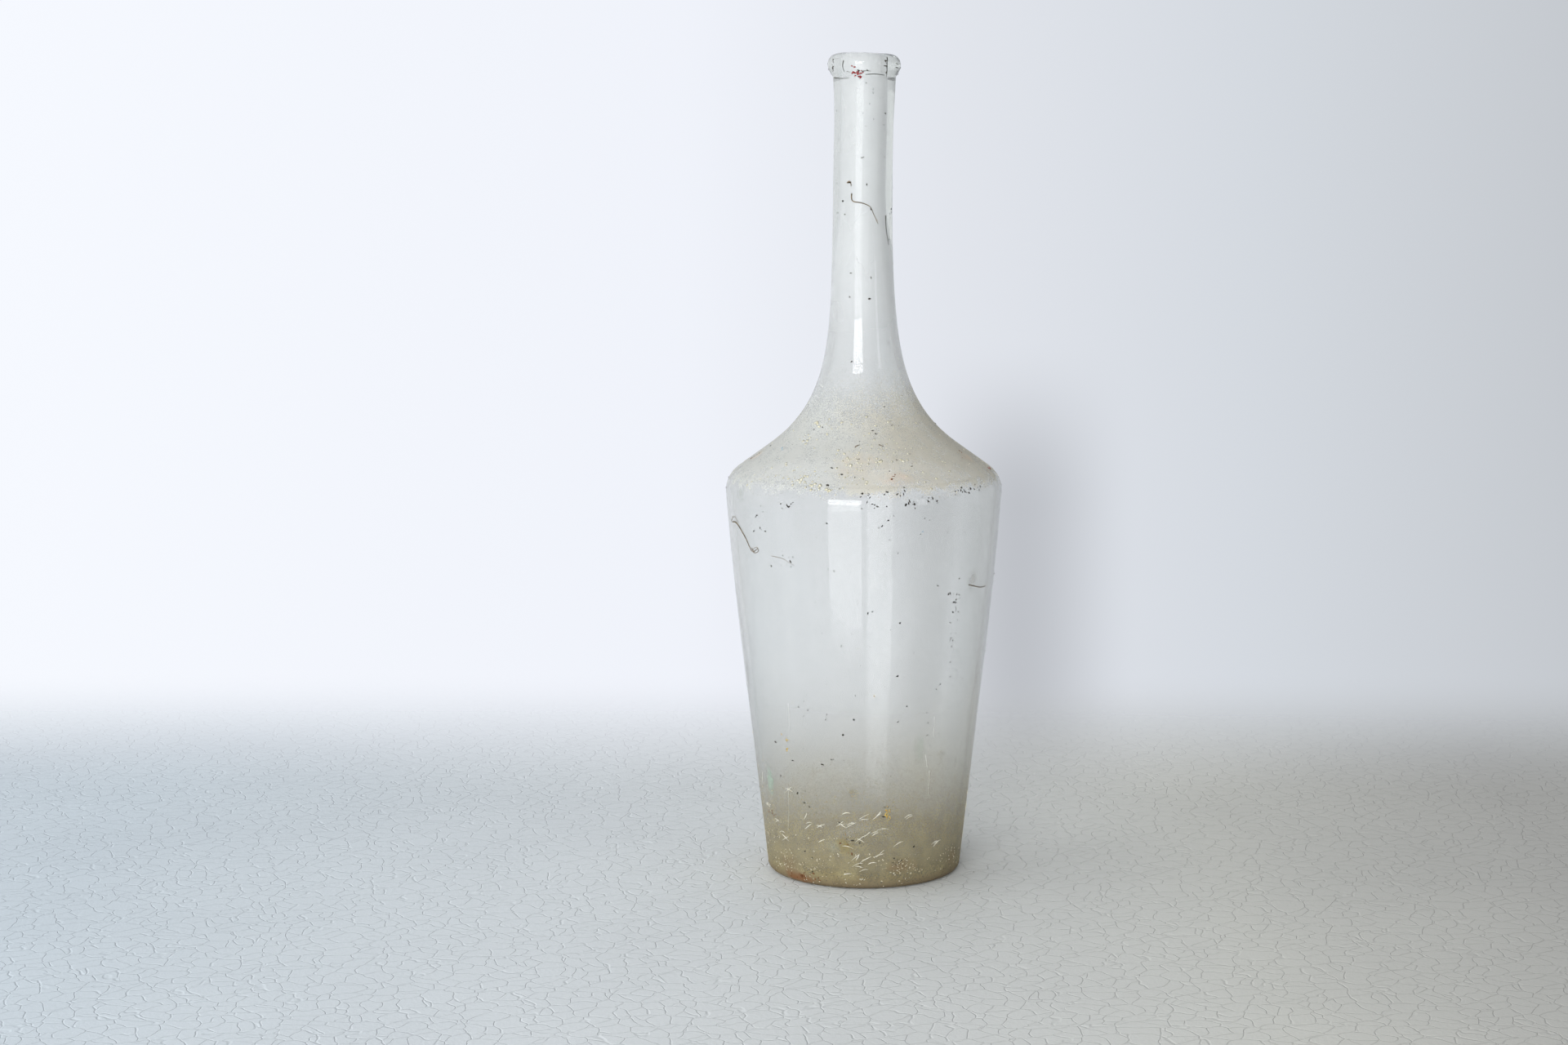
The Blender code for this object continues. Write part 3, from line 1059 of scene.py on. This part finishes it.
class BOTTLE_OT_flakes(bpy.types.Operator):
    """Scatter pale flakes of scale over the shoulder, and crumbs and bright chips over the base"""

    bl_idname = "bottle.flakes"
    bl_label = "Flakes and chips"

    def execute(self, context):
        finder, rng = Finder(), Random(11)
        flakes = Pile()
        for place in scattered(finder, PALE_FLAKES, rng):
            size = (0.20 + 0.36 * rng.random() ** 2) * MM
            flakes.flake(finder.skin, place, size, 0.07 * MM, rng, rng.uniform(0.8, 1.3))
        for place in scattered(finder, BIG_FLAKES, rng):
            size = rng.uniform(0.42, 0.80) * MM
            flakes.flake(finder.skin, place, size, 0.08 * MM, rng, rng.uniform(0.8, 1.3), 9)
        scale = dirt_and_painted_light("pale scale", (0.84, 0.78, 0.56), (0.96, 0.93, 0.78))
        flakes.finish("shoulder_flakes", scale)
        crumbs = Pile()
        for place in scattered(finder, PALE_CRUMBS, rng):
            size = (0.12 + 0.28 * rng.random() ** 2) * MM
            thick = rng.uniform(0.06, 0.14) * MM
            crumbs.flake(finder.skin, place, size, thick, rng, rng.uniform(0.8, 1.8), 6)
        crust = dirt_and_painted_light("pale crust", (0.56, 0.48, 0.31), (0.92, 0.87, 0.70))
        crumbs.finish("heel_crumbs", crust)
        chips = Pile()
        places = [finder.place(x, y) for x, y in BRIGHT_CHIPS]
        hidden = [(hidden_angle(rng), place[1]) for place in places]
        for place in places + hidden:
            add_chip(chips, finder.skin, place, rng)
        # Near-white scale: partly its own pale colour, partly a painted glint
        shining = dirt_and_painted_light("shining scale", (0.80, 0.76, 0.62), (0.97, 0.95, 0.86), roughness=0.35)
        chips.finish("bright_chips", shining)
        return {"FINISHED"}


def add_chip(pile, skin, place, rng):
    """One to three thin curled slivers of scale, close together, that taper to both ends."""
    for count in range(rng.randint(1, 3)):
        length = rng.uniform(2.3, 4.4) * MM
        bow = rng.uniform(0.6, 2.4) * MM
        tilt = rng.gauss(-0.3, 0.4)
        width = 0.11 if count == 0 else 0.07
        off = (rng.gauss(0.0, 0.5) * MM * count, rng.gauss(0.0, 0.6) * MM * count)
        points, radii = [], []
        for step in range(11):
            share = step / 10 - 0.5
            across, along = length * share, bow * (0.25 - share**2)
            run = (across * cos(tilt) - along * sin(tilt), across * sin(tilt) - along * cos(tilt))
            points.append(skin.patch(*place, off[0] + run[0], off[1] + run[1], 0.07 * MM))
            radii.append((0.03 + width * (1.0 - 4.0 * share**2)) * MM * rng.uniform(0.75, 1.25))
        pile.strand(points, radii, sides=5)


class BOTTLE_OT_grains(bpy.types.Operator):
    """Scatter dark, rusty, yellow and red grains where they cling to the glass"""

    bl_idname = "bottle.grains"
    bl_label = "Grains"

    def execute(self, context):
        finder, rng = Finder(), Random(23)
        # Name, clusters, sizes in millimetres, darkest and lightest colour, share repeated on hidden sides
        kinds = (
            ("dark_grains", DARK_GRAINS, (0.18, 0.48), (0.010, 0.008, 0.006), (0.06, 0.045, 0.025), 1.0),
            ("rust_grains", RUST_GRAINS, (0.14, 0.50), (0.16, 0.06, 0.02), (0.32, 0.14, 0.045), 0.5),
            ("yellow_grains", YELLOW_GRAINS, (0.16, 0.42), (0.60, 0.34, 0.05), (0.80, 0.60, 0.18), 0.3),
            ("red_grains", RED_GRAINS, (0.26, 0.50), (0.26, 0.02, 0.03), (0.50, 0.07, 0.06), 0.0),
            ("blue_grains", BLUE_GRAINS, (0.22, 0.45), (0.10, 0.26, 0.46), (0.24, 0.48, 0.66), 0.0),
        )
        for name, clusters, sizes, dark, light, behind in kinds:
            grains = Pile()
            for place in scattered(finder, clusters, rng, behind):
                size = sizes[0] + (sizes[1] - sizes[0]) * rng.random() ** 2
                thick = 0.4 * size * MM
                grains.flake(finder.skin, place, size * MM, thick, rng, rng.uniform(1.0, 1.7), 6)
            grains.finish(name, dirt_and_painted_light(name.replace("_", " "), dark, light))
        return {"FINISHED"}


class BOTTLE_OT_rootlets(bpy.types.Operator):
    """Lay the dried rootlets, short fibres and fine scratches along the glass, and the dark lines of the
    lip and neck, partly painted shade
    """

    bl_idname = "bottle.rootlets"
    bl_label = "Rootlets"

    def execute(self, context):
        finder = Finder()
        roots = Pile()
        # Each path with its thickness in millimetres
        for pixels, thick in (
            (NECK_ROOTLET, 0.21), (NECK_CURL, 0.26), (BODY_ROOTLET, 0.23), (BODY_CLUMP, 0.13),
            (BODY_HOOK, 0.11), (BODY_STRAY, 0.08), (SMUDGE_STRAND, 0.20),
            *((dash, 0.19) for dash in SHOULDER_DASHES),
        ):
            add_rootlet(roots, finder, finder.along(pixels), thick * MM)
        roots.finish("rootlets", dirt_and_painted_light("dry rootlet", (0.10, 0.075, 0.045), (0.30, 0.23, 0.15)))
        # Dark lines on the lip and neck; those across the lip, along its lower edge and beside its
        # highlight, are painted shade
        creases = Pile()
        for pixels in LIP_LINES:
            add_rootlet(creases, finder, finder.along(pixels), 0.15 * MM)
        creases.finish("dark_lines", dirt_and_painted_light("dark line", (0.03, 0.035, 0.03), (0.14, 0.14, 0.11)))
        scratches = Pile()
        for pixels in SCRATCHES:
            add_rootlet(scratches, finder, finder.along(pixels), 0.035 * MM)
        scratches.finish("scratches", dirt_and_painted_light("white scratch", (0.72, 0.73, 0.68), (0.90, 0.90, 0.86)))
        return {"FINISHED"}


def add_rootlet(pile, finder, places, thick):
    """A fibre along places on the glass, with small knots, thinner towards its end."""
    points, radii = [], []
    for index, place in enumerate(places):
        share = index / (len(places) - 1)
        knot = 1.0 + 0.35 * noise.noise(Vector((index * 0.6, thick * 1e5, 0.0)))
        radius = thick * knot * (1.0 - 0.55 * share)
        wiggle = 0.10 * MM * noise.noise(Vector((index * 0.25, 7.0, thick * 1e5)))
        points.append(finder.skin.patch(*place, wiggle, 0.0, radius * 0.9))
        radii.append(radius)
    pile.strand(points, radii)


class BOTTLE_OT_bubbles(bpy.types.Operator):
    """Set the small drawn-out bubbles in the thickness of the glass"""

    bl_idname = "bottle.bubbles"
    bl_label = "Bubbles"

    def execute(self, context):
        finder, rng = Finder(), Random(31)
        places = [(*finder.place(x, y), size) for x, y, size in BUBBLES]
        for _ in range(STRAY_BUBBLES):
            run = finder.skin.run_at(rng.uniform(0.02, 0.26))
            places.append((rng.uniform(0.0, 2.0 * pi), run, rng.uniform(0.12, 0.24)))
        bubbles = Pile()
        for angle, run, size in places:
            centre = finder.skin.patch(angle, run, 0.0, 0.0, -1.1 * MM)
            add_bubble(bubbles, centre, size * MM)
        made = bubbles.finish("bubbles", bubble_air())
        made.visible_shadow = False
        return {"FINISHED"}


def add_bubble(pile, centre, size):
    """A small round bubble, drawn out upwards."""
    rings, sides = 6, 10
    verts, faces = [centre + Vector((0.0, 0.0, size * 1.6))], []
    for ring in range(1, rings):
        polar = pi * ring / rings
        for side in range(sides):
            a = 2.0 * pi * side / sides
            out = Vector((sin(polar) * cos(a), sin(polar) * sin(a), 1.6 * cos(polar)))
            verts.append(centre + out * size)
    verts.append(centre - Vector((0.0, 0.0, size * 1.6)))
    for side in range(sides):
        after = (side + 1) % sides
        faces.append([0, 1 + side, 1 + after])
        for ring in range(rings - 2):
            upper, lower = 1 + ring * sides, 1 + (ring + 1) * sides
            faces.append([upper + side, lower + side, lower + after, upper + after])
        last = 1 + (rings - 2) * sides
        faces.append([len(verts) - 1, last + after, last + side])
    pile.add(verts, faces)


def bubble_air():
    """Air held in the glass, so light bends the other way at its skin."""
    n = Nodes(bpy.data.materials.new("air bubble"))
    tone = n.colours(n.noise(300.0), (0.97, 0.98, 0.97), (1.0, 1.0, 1.0))
    return n.surface(Base_Color=tone, Roughness=0.0, IOR=1.0 / 1.5, Transmission_Weight=1.0)


class BOTTLE_OT_stage(bpy.types.Operator):
    """Set the table, the room's light and the camera"""

    bl_idname = "bottle.stage"
    bl_label = "Stage"

    def execute(self, context):
        add_table()
        light_room()
        add_lamps()
        aim_camera()
        return {"FINISHED"}


def table_finish():
    """Pale painted table with faint creases and painted light, brighter and bluer at the left and darker to
    the right; it fades out at its edges, and early towards the back.
    """
    n = Nodes(bpy.data.materials.new("pale table"))
    creases = n.add("ShaderNodeTexVoronoi", feature="DISTANCE_TO_EDGE")
    bent = n.add("ShaderNodeVectorMath", operation="ADD")
    n.feed(bent.inputs[0], n.place)
    warp = n.add("ShaderNodeTexNoise")
    n.feed(warp.inputs["Vector"], n.place)
    warp.inputs["Scale"].default_value = 60.0
    shift = n.add("ShaderNodeVectorMath", operation="SCALE")
    n.feed(shift.inputs[0], warp.outputs["Color"])
    shift.inputs["Scale"].default_value = 0.012
    n.feed(bent.inputs[1], shift.outputs["Vector"])
    n.feed(creases.inputs["Vector"], bent.outputs["Vector"])
    creases.inputs["Scale"].default_value = 150.0
    crease = n.range(creases.outputs["Distance"], 0.0, 0.05)
    grain = n.noise(700.0, 4.0)
    cloudy = n.range(n.noise(9.0, 4.0), 0.35, 0.75, 0.0, 0.35)
    # Painted light: the table's colour is brighter and bluer at the left and darker and warmer to the right
    paint_and_painted_light = n.colours(cloudy, n.shades(n.along("X"), TABLE_PAINTED_LIGHT), (0.86, 0.86, 0.87), "MULTIPLY")
    front = n.range(n.along("Y"), *FADE_FRONT)
    back = n.range(n.along("Y"), *FADE_BACK, 1.0, 0.0)
    sides = n.range(n.math("ABSOLUTE", n.along("X")), *FADE_SIDE, 1.0, 0.0)
    return n.surface(
        Base_Color=paint_and_painted_light,
        Roughness=0.7,
        Alpha=n.times(front, back, sides),
        Normal=n.bump(n.math("ADD", crease, n.math("MULTIPLY", grain, 0.8)), 0.00020),
    )


def add_table():
    """A flat table top under the bottle, with its front edge just before the picture's."""
    mesh = bpy.data.meshes.new("table")
    corners = [
        (-TABLE_SIDE, TABLE_FRONT, TABLE_TOP),
        (TABLE_SIDE, TABLE_FRONT, TABLE_TOP),
        (TABLE_SIDE, TABLE_BACK, TABLE_TOP),
        (-TABLE_SIDE, TABLE_BACK, TABLE_TOP),
    ]
    mesh.from_pydata(corners, [], [(0, 1, 2, 3)])
    mesh.materials.append(table_finish())
    placed("table", mesh)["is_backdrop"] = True


def light_room():
    """Pale room, brightest behind at the left, dimmer in front, with the bottle's soft shadow behind it."""
    world = bpy.data.worlds.new("room")
    bpy.context.scene.world = world
    n = Nodes(world, "Generated")
    apart = n.math("ABSOLUTE", n.math("SUBTRACT", n.along("X"), SHADOW_MIDDLE))
    before = n.math("LESS_THAN", n.along("Y"), 0.0)
    near = n.range(n.math("ADD", apart, before), 0.0, SHADOW_HALF_WIDTH, SHADOW_DEPTH, 0.0)
    low = n.range(n.along("Z"), SHADOW_TOP - SHADOW_FADE, SHADOW_TOP, 1.0, 0.0)
    lit = n.math("SUBTRACT", 1.0, n.math("MULTIPLY", near, low))
    depth = n.range(n.along("Y"), -0.6, 0.6, 0.55, 1.0)
    diffuse = n.add("ShaderNodeLightPath").outputs["Is Diffuse Ray"]
    dim = n.range(diffuse, 0.0, 1.0, 1.0, 0.72, "LINEAR")
    background = n.tree.nodes["Background"]
    n.feed(background.inputs["Color"], n.shades(n.along("X"), ROOM_SHADES))
    n.feed(background.inputs["Strength"], n.times(depth, lit, dim))


def lamp(name, radiance, azimuth, elevation, width, height, away=LAMP_AWAY):
    """A soft rectangular lamp that faces the bottle's middle, given by the brightness of its face.

    Azimuth and elevation are the degrees to the right of the front and up at which the bottle has it.
    """
    data = bpy.data.lights.new(name, "AREA")
    data.shape = "RECTANGLE"
    data.size, data.size_y = width, height
    data.energy = radiance * pi * width * height
    data.color = DAYLIGHT
    azimuth, elevation = radians(azimuth), radians(elevation)
    back = Vector((sin(azimuth) * cos(elevation), -cos(azimuth) * cos(elevation), sin(elevation)))
    made = placed(name, data)
    made.location = Vector((0.0, 0.0, LAMP_TARGET)) + back * away
    made.rotation_mode = "QUATERNION"
    made.rotation_quaternion = (-back).to_track_quat("-Z", "Y")
    made.visible_camera = False
    made.visible_transmission = False
    return made


def add_lamps():
    """The window at the front left in three parts, soft light at the side, a narrow window at the right."""
    stage = bpy.context.scene.old_bottle_stage
    lamp("window_low", stage.window_radiance, WINDOW_SIDE, -12.0, width=1.05, height=1.5)
    lamp("window_high", stage.sky_radiance, WINDOW_SIDE, 17.0, width=1.05, height=0.75)
    side = lamp("side_light", stage.side_radiance, -75.0, 18.0, width=1.6, height=1.4, away=1.6)
    side.visible_glossy = False
    lamp("right_window", stage.right_radiance, 49.0, 12.0, width=0.28, height=0.8)
    inner = lamp("window_inside", stage.inside_radiance, WINDOW_SIDE, 2.0, width=0.95, height=1.1)
    inner.visible_diffuse = False
    inner.visible_glossy = False
    inner.visible_transmission = True
    show_reflected_only(inner.data)


def show_reflected_only(data):
    """Lets a lamp shine only along light that has been mirrored once.

    So the inside of the far wall mirrors it, and it doesn't stand behind the glass as a bright sheet.
    """
    n = Nodes(data)
    mirrored = n.math("GREATER_THAN", n.add("ShaderNodeLightPath").outputs["Glossy Depth"], 0.5)
    n.feed(n.tree.nodes["Emission"].inputs["Strength"], mirrored)


def camera_axes():
    """Right, up and forward of the camera that took the photograph."""
    level = Matrix.Rotation(CAMERA_YAW, 3, "Z") @ Matrix.Rotation(pi / 2 - CAMERA_PITCH, 3, "X")
    return level @ Matrix.Rotation(CAMERA_ROLL, 3, "Z")


def aim_camera():
    """The camera as it stood for the photograph."""
    data = bpy.data.cameras.new("camera")
    data.sensor_width = SENSOR_WIDTH
    data.lens = FOCAL_PIXELS / PHOTO_WIDTH * SENSOR_WIDTH
    camera = placed("camera", data)
    camera.matrix_world = Matrix.Translation((0.0, -CAMERA_AWAY, CAMERA_HEIGHT)) @ camera_axes().to_4x4()
    bpy.context.scene.camera = camera


class BOTTLE_PT_panel(bpy.types.Panel):
    """The steps that make the bottle, and their settings"""

    bl_label = "Old glass bottle"
    bl_idname = "BOTTLE_PT_panel"
    bl_space_type = "VIEW_3D"
    bl_region_type = "UI"
    bl_category = "Bottle"

    def draw(self, context):
        layout = self.layout
        for name in SETTINGS:
            settings = getattr(context.scene, name)
            box = layout.box()
            for key in settings.__annotations__:
                box.prop(settings, key)
        for operator in OPERATORS:
            layout.operator(operator.bl_idname)


SETTINGS = {
    "old_bottle_glass": GlassSettings,
    "old_bottle_film": FilmSettings,
    "old_bottle_stage": StageSettings,
}
OPERATORS = (
    BOTTLE_OT_glass,
    BOTTLE_OT_film,
    BOTTLE_OT_flakes,
    BOTTLE_OT_grains,
    BOTTLE_OT_rootlets,
    BOTTLE_OT_bubbles,
    BOTTLE_OT_stage,
)


def register():
    for name, settings in SETTINGS.items():
        bpy.utils.register_class(settings)
        setattr(bpy.types.Scene, name, PointerProperty(type=settings))
    for kind in (*OPERATORS, BOTTLE_PT_panel):
        bpy.utils.register_class(kind)


def unregister():
    for kind in (BOTTLE_PT_panel, *reversed(OPERATORS)):
        bpy.utils.unregister_class(kind)
    for name, settings in SETTINGS.items():
        delattr(bpy.types.Scene, name)
        bpy.utils.unregister_class(settings)


def main():
    register()
    bpy.context.scene.view_settings.view_transform = "Standard"
    bpy.ops.bottle.glass()
    bpy.ops.bottle.film()
    bpy.ops.bottle.flakes()
    bpy.ops.bottle.grains()
    bpy.ops.bottle.rootlets()
    bpy.ops.bottle.bubbles()
    bpy.ops.bottle.stage()
    boxes = {"cad": cad_box, "visual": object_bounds()}
    {key: [list(corner) for corner in box] for key, box in boxes.items()}


if __name__ == "__main__":
    main()
